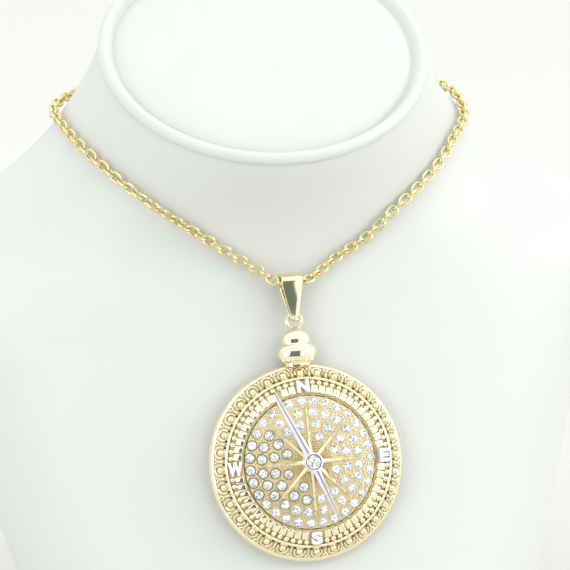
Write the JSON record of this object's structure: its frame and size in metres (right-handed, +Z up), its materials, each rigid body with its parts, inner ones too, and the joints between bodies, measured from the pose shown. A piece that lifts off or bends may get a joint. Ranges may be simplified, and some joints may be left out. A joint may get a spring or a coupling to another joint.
{
  "type": "compass medallion pendant necklace on neck bust",
  "caption": "Round domed compass medallion with pave stones, finial and folded bail, on an oval-link necklace round a plain white neck bust.",
  "frame": {"origin": "middle of the neck bust's flat base", "axes": "+Z up, -Y the way the chest and the medallion face, +X the bust's left-right axis"},
  "size_m": [0.191, 0.1202, 0.1768],
  "materials": {
    "bust_leatherette": "smooth white satin leatherette",
    "gold": "polished pale gold plate",
    "white_metal": "polished white metal plate",
    "pave": "clear faceted stones in beaded pale gold settings",
    "crystal": "clear faceted stone"
  },
  "bodies": {
    "root": {"neck_bust": "bust_leatherette", "chain": "gold", "clasp": "gold"},
    "bail": {"bail": "gold"},
    "pendant": {"medallion_case": "gold", "degree_ring": "gold", "stone_dial": "pave", "compass_rose": "gold", "needle": "white_metal", "centre_stone": "crystal", "letter_n": "white_metal", "letter_e": "white_metal", "letter_s": "white_metal", "letter_w": "white_metal"}
  },
  "joints": [
    {"name": "bail_swing", "type": "hinge", "parent": "root", "child": "bail", "pos_m": [0, -0.00795, 0.10494], "axis": [-1, 0, 0], "range_deg": [0, 60]},
    {"name": "pendant_swing", "type": "hinge", "parent": "bail", "child": "pendant", "pos_m": [0, -0.0115, 0.09766], "axis": [-1, 0, 0], "range_deg": [0, 60]}
  ]
}
